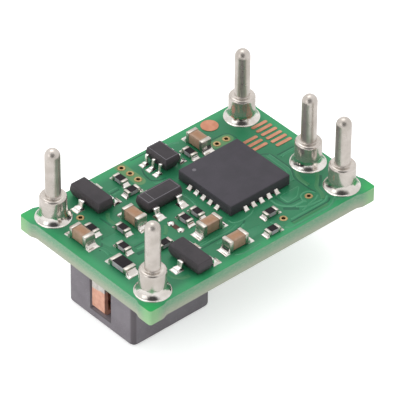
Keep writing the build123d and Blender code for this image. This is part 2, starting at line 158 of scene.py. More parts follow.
class Shader(Nodes):
    """A material with one Principled shader."""

    def __init__(self, name, **sockets):
        self.material = bpy.data.materials.new(name)
        self.material.use_nodes = True
        super().__init__(self.material.node_tree)
        self.surface = self.tree.nodes["Principled BSDF"]
        for socket, value in sockets.items():
            self.surface.inputs[socket.replace("_", " ")].default_value = value
        self.place = self.node("ShaderNodeTexCoord").outputs["Object"]

    def set(self, socket, value):
        self.tree.links.new(value, self.surface.inputs[socket])

    def mix(self, share, first, second):
        """The first colour, turning into the second as the share rises to 1."""
        return self.node("ShaderNodeMix", {0: share, 6: first, 7: second}, data_type="RGBA").outputs[2]

    def noise(self, size, detail=3.0, roughness=0.55, stretch=None):
        """Noise whose grains are about size millimetres across."""
        vector = self.place
        if stretch:
            scaled = self.node("ShaderNodeVectorMath", {0: self.place, 1: stretch}, operation="MULTIPLY")
            vector = scaled.outputs[0]
        inputs = {"Vector": vector, "Scale": 1 / (size * MM), "Detail": detail, "Roughness": roughness}
        return self.node("ShaderNodeTexNoise", inputs).outputs["Fac"]

    def cloud(self, size, detail, low=0.3, high=0.7):
        """Noise whose values between low and high are spread over 0 to 1."""
        return self.ramp(self.noise(size, detail), low, high)

    def normal(self):
        return self.split(self.node("ShaderNodeNewGeometry").outputs["Normal"])

    def upward(self):
        """1 on level faces and 0 on upright ones."""
        return self.math("ABSOLUTE", self.normal()[2])

    def strip(self, middle, runs, reach, fade):
        """1 on a round-ended strip of the board, falling to 0 over the fade."""
        squares = []
        for coordinate, centre, run in zip(self.split(self.place)[:2], middle, runs):
            offset = self.math("ABSOLUTE", self.math("SUBTRACT", coordinate, centre * MM))
            beyond = self.math("MAXIMUM", self.math("SUBTRACT", offset, run * MM), 0.0)
            squares.append(self.math("POWER", beyond, 2.0))
        distance = self.math("SQRT", self.math("ADD", *squares))
        return self.ramp(distance, (reach - fade) * MM, (reach + fade) * MM, 1.0, 0.0)

    def bump(self, height, distance):
        inputs = {"Height": height, "Distance": distance * MM, "Strength": 1.0}
        self.set("Normal", self.node("ShaderNodeBump", inputs).outputs["Normal"])


# Materials
def metal(name, bright, dark, rough, rough_span, grain, depth):
    """Metal with cloudy tint, uneven polish and fine grain, its size and depth in millimetres."""
    shader = Shader(name, Metallic=1.0)
    shader.set("Base Color", shader.mix(shader.cloud(grain * 8, 2.0, 0.35, 0.65), bright, dark))
    polish = shader.noise(grain * 3, 4.0)
    shader.set("Roughness", shader.ramp(polish, 0.3, 0.7, rough - rough_span, rough + rough_span))
    shader.bump(shader.noise(grain), depth)
    return shader.material


def pin_material():
    """Tin plating: bright on the shoulders, softer on the shafts."""
    shader = Shader("pin_metal", Metallic=0.76)
    tint = shader.cloud(0.9, 2.0, 0.35, 0.65)
    shader.set("Base Color", shader.mix(tint, srgb(214, 206, 199), srgb(198, 190, 182)))
    height = shader.split(shader.place)[2]
    polish = shader.ramp(height, (SHOULDER_TOP - 0.06) * MM, (SHOULDER_TOP + 0.08) * MM, 0.2, 0.3)
    uneven = shader.ramp(shader.noise(0.3, 4.0), 0.3, 0.7, -0.03, 0.03)
    shader.set("Roughness", shader.math("ADD", polish, uneven))
    shader.bump(shader.noise(0.12, stretch=(1.0, 1.0, 0.25)), 0.0015)
    return shader.material


def compound(name, light, dark, grain, depth, rough, sheen=0.3, speckle=None, sides=None, edges=None):
    """Moulded or pressed material with grain and clouds, and specks if given. Sides, if given, is painted
    light: its own colour on the upright faces. Edges, if given, is painted shade: its own colour on rounded
    edges and corners.
    """
    shader = Shader(name, Roughness=rough, Specular_IOR_Level=sheen)
    colour = shader.mix(shader.cloud(grain * 30, 3.0), light, dark)
    if speckle:
        colour = shader.mix(shader.cloud(grain * 1.6, 1.0, 0.66, 0.72), colour, speckle)
    # Painted light: the upright faces take the sides colour, which stands in for the light that falls on
    # them.
    if sides:
        colour = shader.mix(shader.ramp(shader.upward(), 0.5, 0.85), sides, colour)
    # Painted shade: rounded edges and corners take the edges colour.
    if edges:
        fourth = [shader.math("POWER", shader.math("ABSOLUTE", axis), 4.0) for axis in shader.normal()]
        flat = shader.math("ADD", shader.math("ADD", fourth[0], fourth[1]), fourth[2])
        colour = shader.mix(shader.ramp(flat, 0.6, 0.95, 1.0, 0.0), colour, edges)
    shader.set("Base Color", colour)
    shader.bump(shader.noise(grain, 5.0, 0.7), depth)
    return shader.material


def board_material():
    """Green mask on both faces, brighter at the rim and round some vias; glass layers on the edges."""
    shader = Shader("board", Specular_IOR_Level=0.3)
    x, y, z = shader.split(shader.place)
    from_side = shader.math("SUBTRACT", ROUTED_X * MM, shader.math("ABSOLUTE", x))
    from_front = shader.math("SUBTRACT", ROUTED_Y * MM, shader.math("ABSOLUTE", y))
    rim = shader.ramp(shader.math("MINIMUM", from_side, from_front), 0.25 * MM, 1.0 * MM, 1.0, 0.0)
    near = [shader.ramp(distance, 0.2 * MM, 1.1 * MM, 1.0, 0.0) for distance in (from_side, from_front)]
    corner = shader.math("MULTIPLY", *near)

    mask = shader.mix(shader.cloud(2.6, 3.0, 0.35, 0.65), srgb(44, 124, 85), srgb(50, 132, 92))
    mask = shader.mix(rim, mask, srgb(56, 157, 103))
    mask = shader.mix(corner, mask, srgb(52, 178, 98))
    for middle, runs in VIA_STRIPS:
        mask = shader.mix(shader.strip(middle, runs, STRIP_REACH, STRIP_FADE), mask, srgb(98, 146, 96))

    weave = shader.noise(0.16, 4.0, stretch=(1.0, 1.0, 3.0))
    layers = shader.ramp(z, (BOARD_UNDER + 0.04) * MM, (BOARD_TOP - 0.2) * MM)
    edge = shader.mix(layers, srgb(180, 187, 167), srgb(124, 176, 142))
    edge = shader.mix(shader.ramp(weave, 0.4, 0.75, 0.0, 0.35), edge, srgb(206, 208, 186))
    edge = shader.mix(shader.math("MULTIPLY", corner, 0.7), edge, srgb(158, 214, 152))

    flat = shader.ramp(shader.upward(), 0.4, 0.6)
    shader.set("Base Color", shader.mix(flat, edge, mask))
    shader.set("Roughness", shader.ramp(flat, 0.0, 1.0, 0.62, 0.34))
    shader.bump(shader.math("ADD", shader.noise(0.5), shader.math("MULTIPLY", weave, 0.6)), 0.01)
    return shader.material


def mask_material(name, low, high):
    """Green mask over copper, with slow changes of tone."""
    shader = Shader(name, Roughness=0.36, Specular_IOR_Level=0.3)
    shader.set("Base Color", shader.mix(shader.cloud(1.8, 3.0, 0.35, 0.65), low, high))
    shader.bump(shader.noise(0.45), 0.008)
    return shader.material


def ceramic_material():
    """Fired ceramic: warm in the middle of a body, paler towards its edges."""
    shader = Shader("capacitor_ceramic", Roughness=0.42, Specular_IOR_Level=0.3)
    shares = shader.split(shader.node("ShaderNodeTexCoord").outputs["Generated"])[:2]
    offsets = [shader.math("ABSOLUTE", shader.math("SUBTRACT", share, 0.5)) for share in shares]
    tint = shader.cloud(0.35, 4.0)
    middle = shader.mix(tint, srgb(178, 136, 104), srgb(164, 123, 92))
    pale = shader.mix(tint, srgb(180, 150, 128), srgb(166, 136, 114))
    outside = shader.ramp(shader.math("MAXIMUM", *offsets), 0.12, 0.46)
    shader.set("Base Color", shader.mix(outside, middle, pale))
    shader.bump(shader.noise(0.05, 5.0, 0.7), 0.004)
    return shader.material


def winding_material():
    """Bare copper strip that is tinned near the board, with a wavy border that leans along y."""
    shader = Shader("winding", Metallic=0.6)
    y, z = shader.split(shader.place)[1:]
    wavy = shader.math("MULTIPLY", shader.noise(0.5), 0.2 * MM)
    lean = shader.math("MULTIPLY", y, 0.14)
    border = shader.math("ADD", shader.math("ADD", z, wavy), lean)
    tinned = shader.ramp(border, TIN_LINE * MM, (TIN_LINE + 0.12) * MM)
    tint = shader.cloud(0.3, 4.0)
    copper = shader.mix(tint, srgb(250, 194, 170), srgb(236, 174, 150))
    tin = shader.mix(tint, srgb(232, 226, 220), srgb(204, 196, 190))
    shader.set("Base Color", shader.mix(tinned, copper, tin))
    shader.set("Roughness", shader.ramp(shader.noise(0.12), 0.3, 0.7, 0.28, 0.44))
    shader.bump(shader.noise(0.08, stretch=(1.0, 0.25, 1.0)), 0.004)
    return shader.material


BOARD = board_material()
MASK = mask_material("mask_over_copper", srgb(46, 129, 89), srgb(54, 136, 96))
# Lighter mask at copper edges and on thin traces: partly the thinner mask there, partly painted highlight of
# the light that the edges catch
MASK_EDGE_THIN_AND_HIGHLIGHT = mask_material("thin_mask_and_highlight_at_copper_edge", srgb(68, 146, 106), srgb(78, 154, 114))
MASK_OLIVE = mask_material("mask_olive", srgb(60, 130, 86), srgb(70, 136, 92))
MASK_DEEP = mask_material("mask_between_copper", srgb(26, 95, 68), srgb(34, 104, 75))
PIN = pin_material()
SOLDER = metal("solder", srgb(236, 231, 226), srgb(214, 208, 201), 0.18, 0.05, 0.14, 0.005)
TIN = metal("tinned", srgb(208, 202, 194), srgb(186, 179, 170), 0.36, 0.07, 0.07, 0.003)
LEAD = metal("lead_tin", srgb(244, 240, 236), srgb(230, 225, 219), 0.27, 0.05, 0.1, 0.003)
COPPER = metal("bare_copper", srgb(206, 150, 124), srgb(192, 135, 110), 0.5, 0.06, 0.1, 0.004)
RING = metal("via_ring", srgb(194, 168, 124), srgb(172, 147, 104), 0.48, 0.06, 0.06, 0.003)
WINDING = winding_material()
# Painted shade on the core: its rounded edges and corners are given a darker colour.
FERRITE = compound(
    "ferrite", srgb(144, 138, 145), srgb(132, 126, 133), 0.05, 0.005, 0.55,
    speckle=srgb(164, 159, 165), edges=srgb(108, 102, 107),
)
# Painted light on the packages: their upright faces are given a lighter colour than their tops.
MOULD = compound(
    "mould_compound", srgb(66, 61, 65), srgb(57, 53, 57), 0.035, 0.004, 0.55, sides=srgb(78, 73, 77),
)
CHIP = compound(
    "controller_compound", srgb(70, 66, 74), srgb(65, 62, 69), 0.03, 0.003, 0.55, sides=srgb(74, 71, 77),
)
CERAMIC = ceramic_material()
ALUMINA = compound("resistor_ceramic", srgb(186, 182, 186), srgb(160, 156, 162), 0.04, 0.004, 0.5)
FILM = compound("resistor_film", srgb(42, 37, 40), srgb(34, 30, 33), 0.03, 0.003, 0.5, sheen=0.12)
BARE = compound("bare_laminate", srgb(112, 74, 62), srgb(84, 58, 50), 0.05, 0.005, 0.6)
PRINT = compound("package_line", srgb(122, 119, 125), srgb(108, 105, 112), 0.03, 0.002, 0.5)
# Dark colour of the real via plug, also used as painted shade inside the open bores
BORE_SHADE_AND_PLUG = compound("bore", srgb(52, 40, 26), srgb(32, 26, 16), 0.05, 0.004, 0.7)


# Mesh helpers, all in millimetres until a piece is made
def piece(name, bm, materials, replaced=(), sharp=35):
    """A finished object from a mesh in millimetres."""
    bmesh.ops.scale(bm, vec=(MM, MM, MM), verts=bm.verts)
    bmesh.ops.recalc_face_normals(bm, faces=bm.faces)
    for face in bm.faces:
        face.smooth = True
    mesh = bpy.data.meshes.new(name)
    bm.to_mesh(mesh)
    bm.free()
    mesh.set_sharp_from_angle(angle=radians(sharp))
    made = bpy.data.objects.new(name, mesh)
    bpy.context.scene.collection.objects.link(made)
    for material in materials:
        mesh.materials.append(material)
    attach(made, "root")
    if replaced:
        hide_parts(*replaced)
    return made


def paint(name, material):
    """A material on a CAD node that keeps its own mesh."""
    for material_slot in nodes[name].material_slots:
        material_slot.link = "OBJECT"
        material_slot.material = material


def from_node(name):
    """The faces of a CAD node in millimetres, joined and with its flat faces whole."""
    bm = bmesh.new()
    bm.from_mesh(nodes[name].data)
    bmesh.ops.scale(bm, vec=(1 / MM, 1 / MM, 1 / MM), verts=bm.verts)
    bmesh.ops.remove_doubles(bm, verts=bm.verts, dist=0.0005)
    bmesh.ops.dissolve_limit(bm, angle_limit=radians(0.5), verts=bm.verts, edges=bm.edges)
    return bm


def is_sharp(edge):
    return len(edge.link_faces) == 2 and edge.calc_face_angle() > radians(28)


def is_steep(edge):
    run = edge.verts[0].co - edge.verts[1].co
    return abs(run.z) > 0.75 * run.length


def climbs(edge):
    """True where an edge leads from one level to another."""
    return abs((edge.verts[0].co - edge.verts[1].co).z) > 0.02


def rounded(name, width, materials, segments=2, keep=None, upright=0.0):
    """The CAD node's own form with rounded edges, the steep ones first and wider if upright is given."""
    bm = from_node(name)
    passes = [(upright, 5, is_steep)] if upright else []
    for amount, rounds, wanted in passes + [(width, segments, keep)]:
        edges = [edge for edge in bm.edges if is_sharp(edge) and (wanted is None or wanted(edge))]
        bmesh.ops.bevel(
            bm, geom=edges, offset=amount, segments=rounds, profile=0.5, affect="EDGES", clamp_overlap=True,
        )
    return piece(f"{name}_dressed", bm, materials, (name,))


def arc(centre_r, centre_z, radius_r, radius_z, start, end, steps):
    """Points of an elliptical arc in a lathe's outline, by degrees."""
    turns = [radians(start + (end - start) * step / steps) for step in range(steps + 1)]
    return [(centre_r + radius_r * cos(turn), centre_z + radius_z * sin(turn)) for turn in turns]


def dome(level, radius, height, steps):
    """A quarter of an ellipse in a lathe's outline, closed on the axis."""
    return arc(0, level, radius, height, 0, 90, steps)[:-1] + [(0, level + height)]


def lathe(bm, outline, place, segments=64, wobble=0.0, seed=0.0):
    """A turned form round an upright axis, open where its outline ends off the axis."""
    x, y = place
    rings = []
    for radius, level in outline:
        if radius < 1e-6:
            rings.append([bm.verts.new((x, y, level))])
            continue
        ring = []
        for step in range(segments):
            turn = 2 * pi * step / segments
            uneven = wobble * noise.noise(Vector((3 * cos(turn) + seed, 3 * sin(turn), level * 2)))
            out = radius + uneven
            ring.append(bm.verts.new((x + out * cos(turn), y + out * sin(turn), level)))
        rings.append(ring)
    for low, high in zip(rings, rings[1:]):
        for step in range(max(len(low), len(high))):
            corners = []
            for ring, index in ((low, step), (low, step + 1), (high, step + 1), (high, step)):
                vert = ring[index % len(ring)]
                if vert not in corners:
                    corners.append(vert)
            if len(corners) > 2:
                bm.faces.new(corners)


def outline_offset(points, amount, closed):
    """Points moved sideways by an amount, with mitred corners."""
    count = len(points)
    moved = []
    for index, point in enumerate(points):
        before = points[index - 1] if closed or index else point
        after = points[(index + 1) % count] if closed or index < count - 1 else point
        directions = []
        for start, end in ((before, point), (point, after)):
            step = Vector((end[0] - start[0], end[1] - start[1]))
            if step.length > 1e-9:
                directions.append(step.normalized())
        normals = [Vector((-step.y, step.x)) for step in directions]
        mean = sum(normals, Vector((0, 0))).normalized()
        stretch = 1 / max(0.5, mean.dot(normals[0]))
        moved.append((point[0] + mean.x * amount * stretch, point[1] + mean.y * amount * stretch))
    return moved


def soften(points, radius, closed=False):
    """Corners of a line rounded by short curves."""
    steps = 5
    count = len(points)
    line = []
    for index, point in enumerate(points):
        if not closed and index in (0, count - 1):
            line.append(point)
            continue
        middle = Vector(point)
        before = Vector(points[index - 1]) - middle
        after = Vector(points[(index + 1) % count]) - middle
        reach = min(radius, before.length * 0.45, after.length * 0.45)
        start = middle + before.normalized() * reach
        end = middle + after.normalized() * reach
        for step in range(steps + 1):
            share = step / steps
            spot = start * (1 - share) ** 2 + middle * 2 * share * (1 - share) + end * share**2
            line.append((spot.x, spot.y))
    return line


def raised_line(bm, line, width, level, height, slope, shades=(0, 0)):
    """A low strip along a line: the first shade on its top, the second on its sloped sides and ends."""
    half = width / 2
    rows = []
    for offset, lift in ((half, 0.0), (half - slope, height), (slope - half, height), (-half, 0.0)):
        rows.append([bm.verts.new((x, y, level + lift)) for x, y in outline_offset(line, offset, False)])
    for band, (first, second) in enumerate(zip(rows, rows[1:])):
        for index in range(len(line) - 1):
            face = bm.faces.new((first[index], first[index + 1], second[index + 1], second[index]))
            face.material_index = shades[0] if band == 1 else shades[1]
    for end in (0, -1):
        bm.faces.new([row[end] for row in rows]).material_index = shades[1]


def raised_area(bm, outline, level, height, slope, shades):
    """A low area inside a closed outline: the first shade on its top, the second on its sloped sides."""
    twice_area = sum(a[0] * b[1] - b[0] * a[1] for a, b in zip(outline, outline[1:] + outline[:1]))
    inner = outline_offset(outline, -slope if twice_area < 0 else slope, True)
    low = [bm.verts.new((x, y, level)) for x, y in outline]
    high = [bm.verts.new((x, y, level + height)) for x, y in inner]
    for index in range(len(low)):
        after = (index + 1) % len(low)
        side = bm.faces.new((low[index], low[after], high[after], high[index]))
        side.material_index = shades[1]
    bm.faces.new(high).material_index = shades[0]


# Board, with copper under the mask as shallow relief: line, width and shade of each trace
paint("circuit_board", BOARD)

OVER, EDGE_THIN_AND_HIGHLIGHT, OLIVE, DEEP = range(4)
traces = [
    ([(6.45, 0.6), (6.45, -1.35), (6.0, -2.05), (5.92, -2.4)], 0.34, OVER),
    ([(6.95, -2.1), (7.7, -2.75), (7.15, -3.35), (6.55, -3.85), (6.45, -4.5), (6.1, -5.0)], 0.26, OLIVE),
    ([(6.8, -1.75), (6.5, -2.15), (6.33, -2.6), (6.33, -3.4)], 0.28, OLIVE),
    ([(3.5, -2.95), (3.5, -3.65), (4.1, -4.35), (5.15, -4.38)], 0.17, EDGE_THIN_AND_HIGHLIGHT),
    ([(4.25, -4.5), (4.9, -4.93), (6.0, -5.02)], 0.15, EDGE_THIN_AND_HIGHLIGHT),
    ([(3.15, -5.22), (6.1, -5.24), (6.5, -4.95)], 0.15, EDGE_THIN_AND_HIGHLIGHT),
    ([(2.35, -5.55), (2.65, -5.86), (5.9, -5.86), (6.4, -5.62), (6.95, -5.3)], 0.17, EDGE_THIN_AND_HIGHLIGHT),
    ([(3.0, -5.58), (5.95, -5.58)], 0.22, OLIVE),
    ([(5.1, -4.55), (5.02, -4.2), (5.2, -3.85), (5.6, -3.72), (5.98, -3.85), (6.15, -4.2)], 0.11, EDGE_THIN_AND_HIGHLIGHT),
    ([(4.3, -5.05), (5.2, -4.78), (5.75, -4.72), (6.1, -4.5)], 0.12, EDGE_THIN_AND_HIGHLIGHT),
    ([(6.5, -5.45), (6.95, -5.75), (7.4, -5.8)], 0.14, OVER),
    ([(2.1, -4.55), (2.18, -5.1), (2.4, -5.4)], 0.3, OVER),
    ([(0.1, -2.75), (0.18, -3.12), (0.8, -3.3), (1.65, -3.17), (2.0, -2.95)], 0.12, EDGE_THIN_AND_HIGHLIGHT),
    ([(-7.75, 0.45), (-7.62, 0.1), (-7.7, -0.45)], 0.3, OVER),
    ([(-6.1, -1.12), (-5.35, -1.2), (-4.95, -1.0)], 0.18, EDGE_THIN_AND_HIGHLIGHT),
    ([(-3.2, -0.5), (-3.5, -0.95), (-3.85, -1.2)], 0.24, OLIVE),
    ([(-2.95, -3.42), (-0.35, -3.46), (0.2, -3.3)], 0.24, OVER),
    ([(-2.0, -3.98), (-0.2, -4.0), (0.6, -3.6)], 0.16, EDGE_THIN_AND_HIGHLIGHT),
    ([(-6.2, -4.1), (-6.2, -4.6), (-5.85, -5.12), (-5.3, -5.2)], 0.3, OLIVE),
    ([(-1.85, -5.52), (-1.4, -5.76), (0.1, -5.76)], 0.14, EDGE_THIN_AND_HIGHLIGHT),
    ([(-5.15, 2.8), (-5.55, 2.3), (-5.5, 1.6)], 0.26, OLIVE),
    ([(-3.75, 4.36), (-3.0, 4.36)], 0.13, EDGE_THIN_AND_HIGHLIGHT),
    ([(-3.75, 3.94), (-3.15, 3.96)], 0.13, EDGE_THIN_AND_HIGHLIGHT),
    ([(-0.95, 3.2), (-0.3, 2.9), (0.05, 2.85)], 0.2, OVER),
    ([(1.9, 5.5), (2.6, 5.55), (3.0, 5.3)], 0.16, OVER),
    ([(7.0, -0.1), (7.2, 0.0), (8.2, 0.0)], 0.2, OVER),
    ([(-0.9, 2.2), (-0.35, 1.9), (-0.25, 0.4), (-0.4, -0.4)], 0.2, OVER),
]

# Copper areas: outline, shade and shade of the rim
pours = [
    ([(4.12, -3.0), (5.75, -3.0), (5.8, -3.12), (5.45, -3.42), (5.0, -3.8), (4.12, -3.86)], OVER, EDGE_THIN_AND_HIGHLIGHT),
    ([(-6.0, -0.1), (-5.0, -0.1), (-5.05, -0.72), (-6.0, -0.72)], OVER, OVER),
    ([(-7.4, 1.0), (-6.1, 1.0), (-6.05, 0.25), (-6.3, 0.05), (-7.2, 0.05)], OVER, OVER),
    ([(-0.35, -4.15), (1.6, -4.35), (1.5, -4.95), (-0.1, -5.05), (-0.25, -4.5)], OVER, OVER),
]

# Dark lines between copper areas: line and width
gaps = [
    ([(5.95, 1.0), (6.3, 0.9), (6.69, 0.55), (6.69, -1.45), (6.15, -2.1), (6.1, -3.4), (6.2, -4.2)], 0.13),
    ([(6.9, 0.22), (8.35, 0.22)], 0.13),
    ([(3.0, -5.4), (6.15, -5.42), (6.5, -5.2)], 0.12),
    ([(3.88, -2.95), (3.92, -4.0), (5.1, -4.06)], 0.12),
    ([(3.5, -4.1), (4.3, -4.75)], 0.28),
    ([(4.4, 3.98), (4.7, 4.12), (5.8, 4.12), (6.12, 3.85), (6.14, 3.2)], 0.1),
    ([(-6.1, -0.86), (-5.2, -0.86)], 0.1),
    ([(-3.0, -3.72), (0.2, -3.74), (0.9, -3.4)], 0.12),
    ([(-6.95, 1.2), (-7.35, 0.7), (-7.95, 0.25)], 0.12),
    ([(-0.6, 4.75), (-0.88, 4.2), (-0.92, 3.5), (-0.62, 3.2), (0.0, 3.1)], 0.12),
    ([(-5.85, 2.75), (-5.8, 1.7)], 0.12),
    ([(-3.75, 4.15), (-3.05, 4.15)], 0.1),
    ([(7.6, -3.1), (7.3, -3.5), (6.8, -3.95)], 0.2),
    ([(-6.4, -1.5), (-5.1, -1.6)], 0.3),
    ([(-0.6, 5.9), (1.9, 5.9)], 0.08),
]

# Relief: its heights, the widths of its sloped sides, and the rounding of its lines and outlines
TRACE_HEIGHT = 0.022
TRACE_SLOPE = 0.05
POUR_HEIGHT = 0.02
POUR_SLOPE = 0.06
GAP_HEIGHT = 0.004
GAP_SLOPE = 0.01
LINE_BEND = 0.35
POUR_CORNER = 0.2
relief = bmesh.new()
for line, width, shade in traces:
    # The sloped sides of the traces take the lighter edge shade, partly a painted highlight
    flank = EDGE_THIN_AND_HIGHLIGHT if shade == OVER else shade
    bent = soften(line, LINE_BEND)
    raised_line(relief, bent, width, BOARD_TOP, TRACE_HEIGHT, TRACE_SLOPE, (shade, flank))
for outline, shade, rim in pours:
    bent = soften(outline, POUR_CORNER, closed=True)
    raised_area(relief, bent, BOARD_TOP, POUR_HEIGHT, POUR_SLOPE, (shade, rim))
for line, width in gaps:
    raised_line(relief, soften(line, LINE_BEND), width, BOARD_TOP, GAP_HEIGHT, GAP_SLOPE, (DEEP, DEEP))
piece("mask_relief", relief, [MASK, MASK_EDGE_THIN_AND_HIGHLIGHT, MASK_OLIVE, MASK_DEEP])

# Vias: a ring round each, and the lining of its bore
ring_outline = [(VIA_BORE, BOARD_UNDER), (VIA_BORE, BOARD_TOP + 0.02)]
ring_outline += [(VIA_BORE + 0.02, BOARD_TOP + VIA_LIFT)]
ring_outline += [(VIA_RIM - 0.03, BOARD_TOP + VIA_LIFT), (VIA_RIM, BOARD_TOP + 0.01), (VIA_RIM, BOARD_TOP)]
rings = bmesh.new()
for index, place in enumerate([*OPEN_VIAS, PLUGGED_VIA]):
    lathe(rings, ring_outline, place, segments=32, wobble=0.006, seed=index)
piece("via_rings", rings, [RING], ("vias",))

# Dark fill of the bores, which reaches the top in the plugged one
# Painted shade in the open bores: a dark cylinder set a little way down each stands in for the shade inside
# the hole; the real plug of the plugged via reaches the top in the same dark colour
plug_and_bore_shade = bmesh.new()
plug_foot = BOARD_TOP - 0.5
plug_outline = [(0, plug_foot), (VIA_BORE - 0.001, plug_foot), (VIA_BORE - 0.001, BOARD_TOP - 0.045)]
plug_outline += [(VIA_BORE - 0.05, BOARD_TOP - 0.03), (0, BOARD_TOP - 0.04)]
lathe(plug_and_bore_shade, plug_outline, PLUGGED_VIA, segments=24)
dark_foot = BOARD_UNDER + 0.09
dark_top = BOARD_TOP - 0.2
dark_radius = VIA_BORE - 0.003
bore_shade_outline = [(0, dark_foot), (dark_radius, dark_foot), (dark_radius, dark_top), (0, dark_top)]
for place in OPEN_VIAS:
    lathe(plug_and_bore_shade, bore_shade_outline, place, segments=24)
piece("via_plug_and_painted_bore_shade", plug_and_bore_shade, [BORE_SHADE_AND_PLUG], ("via_plug",))

# Bare copper marks, rounded at their corners alone
rounded("copper_marks", 0.09, [COPPER], segments=3, keep=climbs)

# Pins and their solder
pin_outline = [(0, TAIL_END), (TAIL_RADIUS - TAIL_CHAMFER, TAIL_END), (TAIL_RADIUS, TAIL_END + TAIL_CHAMFER)]
pin_outline += [(TAIL_RADIUS, BOARD_TOP), (SHOULDER_RADIUS, BOARD_TOP)]
pin_outline += arc(
    SHOULDER_RADIUS - SHOULDER_ROUND, SHOULDER_TOP - SHOULDER_ROUND, SHOULDER_ROUND, SHOULDER_ROUND, 0, 90, 8,
)
pin_outline += arc(
    SHAFT_RADIUS + NECK_ROUND, SHOULDER_TOP + NECK_ROUND, NECK_ROUND, NECK_ROUND, 270, 180, 4,
)
pin_outline += dome(PIN_TIP - SHAFT_RADIUS, SHAFT_RADIUS, SHAFT_RADIUS, 12)
for index, place in enumerate(PIN_PLACES, start=1):
    pin = bmesh.new()
    lathe(pin, pin_outline, place, segments=72)
    piece(f"pin_{index}_turned", pin, [PIN], (f"pin_{index}",))

collar_outline = [(SHOULDER_RADIUS - 0.005, BOARD_TOP + COLLAR_HEIGHT)]
collar_outline += [(SHOULDER_RADIUS + 0.002, BOARD_TOP + COLLAR_HEIGHT - 0.03)]
hollow_r = SHOULDER_RADIUS + COLLAR_HOLLOW + 0.001
hollow_z = BOARD_TOP + COLLAR_HEIGHT - 0.014
collar_outline += arc(hollow_r, hollow_z, -COLLAR_HOLLOW, -COLLAR_HOLLOW, 3, 51, 14)
collar_outline += [(COLLAR_RADIUS - 0.03, BOARD_TOP + 0.04), (COLLAR_RADIUS - 0.01, BOARD_TOP + 0.03)]
collar_outline += [(COLLAR_RADIUS, BOARD_TOP)]
solder_end = BOARD_UNDER - TAIL_SOLDER_DROP
tail_outline = [(TAIL_RADIUS, solder_end)] + arc(TAIL_SOLDER_RADIUS, solder_end, -0.5, 0.38, 0, 90, 10)
tail_outline += [(TAIL_SOLDER_RADIUS + 0.01, BOARD_UNDER - 0.02), (TAIL_SOLDER_RADIUS, BOARD_UNDER)]
collars = bmesh.new()
tails = bmesh.new()
for index, place in enumerate(PIN_PLACES):
    lathe(collars, collar_outline, place, segments=72, wobble=0.012, seed=index * 5)
    lathe(tails, tail_outline, place, segments=48, wobble=0.02, seed=index * 3)
piece("pin_collars", collars, [SOLDER], ("pin_solder_collars",), sharp=50)
piece("pin_tails", tails, [SOLDER], ("pin_tail_solder",), sharp=50)


# Solder at the ends of the parts
def fillet_patch(bm, spot, heading, half, core, back, toe, rise, pad=0.07, power=3.0, under=False):
    """One solder joint: a flat pad with steep lips, and a hollow slope up to the part that stands on it.

    It is twice half wide and at full height over twice core. It runs from back behind the part's end to
    toe in front of it, and climbs from pad by rise.
    """
    turn = radians(heading)
    away = Vector((cos(turn), sin(turn), 0))
    across = Vector((-sin(turn), cos(turn), 0))
    level, upward = (BOARD_UNDER, -1) if under else (BOARD_TOP, 1)
    wide, deep, lip_power, flank_power = 20, 22, 14, 1.7
    grid = []
    for row in range(deep + 1):
        v = sin(pi / 2 * (2 * row / deep - 1))
        run = -back + (toe + back) * (v + 1) / 2
        line = []
        for column in range(wide + 1):
            u = sin(pi / 2 * (2 * column / wide - 1))
            aside = abs(u) * half
            lip = (1 - abs(u) ** lip_power) * (1 - abs(v) ** lip_power)
            slope = max(1 - run / toe, 0.0) ** power if run > 0 else 1.0
            flank = max((half - aside) / (half - core), 0.0) ** flank_power if aside > core else 1.0
            seed = Vector((spot[0] * 3 + u * 1.4, spot[1] * 3 + run * 4, heading))
            height = (pad + rise * slope * flank) * lip * (1 + 0.06 * noise.noise(seed))
            spread = 1 + 0.05 * max(run, 0) / toe
            point = Vector((*spot, level)) + away * run + across * (u * half * spread)
            point.z += upward * max(height, 0.0)
            line.append(bm.verts.new(point))
        grid.append(line)
    for near, far in zip(grid, grid[1:]):
        for column in range(wide):
            bm.faces.new((near[column], near[column + 1], far[column + 1], far[column]))


def fillets(name, joints, **sizes):
    """The solder joints of one kind of part as one piece, each joint a spot and a heading."""
    bm = bmesh.new()
    for spot, heading in joints:
        fillet_patch(bm, spot, heading, **sizes)
    piece(f"{name}_fillets", bm, [SOLDER], (f"{name}_solder",), sharp=60)


def joint(place, heading, along, sideways=0.0):
    """A spot along a heading from a place and to its side, with the heading."""
    turn = radians(heading)
    x = place[0] + cos(turn) * along - sin(turn) * sideways
    y = place[1] + sin(turn) * along + cos(turn) * sideways
    return (x, y), heading


def chip_ends(places, length):
    """The joints at both ends of chip parts."""
    return [joint((x, y), own + turn, length / 2) for x, y, own in places for turn in (0, 180)]


def lead_ends(place, leads, reach):
    """The joints at the feet of a package's leads."""
    x, y, own = place
    return [joint((x, y), own + heading, reach, sideways) for heading, sideways in leads]


chip_joints = chip_ends(CAPACITORS, CAPACITOR_LENGTH)
fillets("capacitor", chip_joints, half=0.43, core=0.38, back=0.06, toe=0.42, rise=0.34, power=5.0)
chip_joints = chip_ends(OUTPUT_CAPACITORS, OUTPUT_CAPACITOR_LENGTH)
fillets("output_capacitor", chip_joints, half=0.84, core=0.76, back=0.06, toe=0.45, rise=0.6, under=True)
chip_joints = chip_ends(RESISTORS, RESISTOR_LENGTH)
fillets("resistor", chip_joints, half=0.29, core=0.23, back=0.06, toe=0.23, rise=0.16, power=2.4)
chip_joints = chip_ends(LARGE_RESISTORS, LARGE_RESISTOR_LENGTH)
fillets("large_resistor", chip_joints, half=0.46, core=0.4, back=0.06, toe=0.38, rise=0.26, power=2.6)

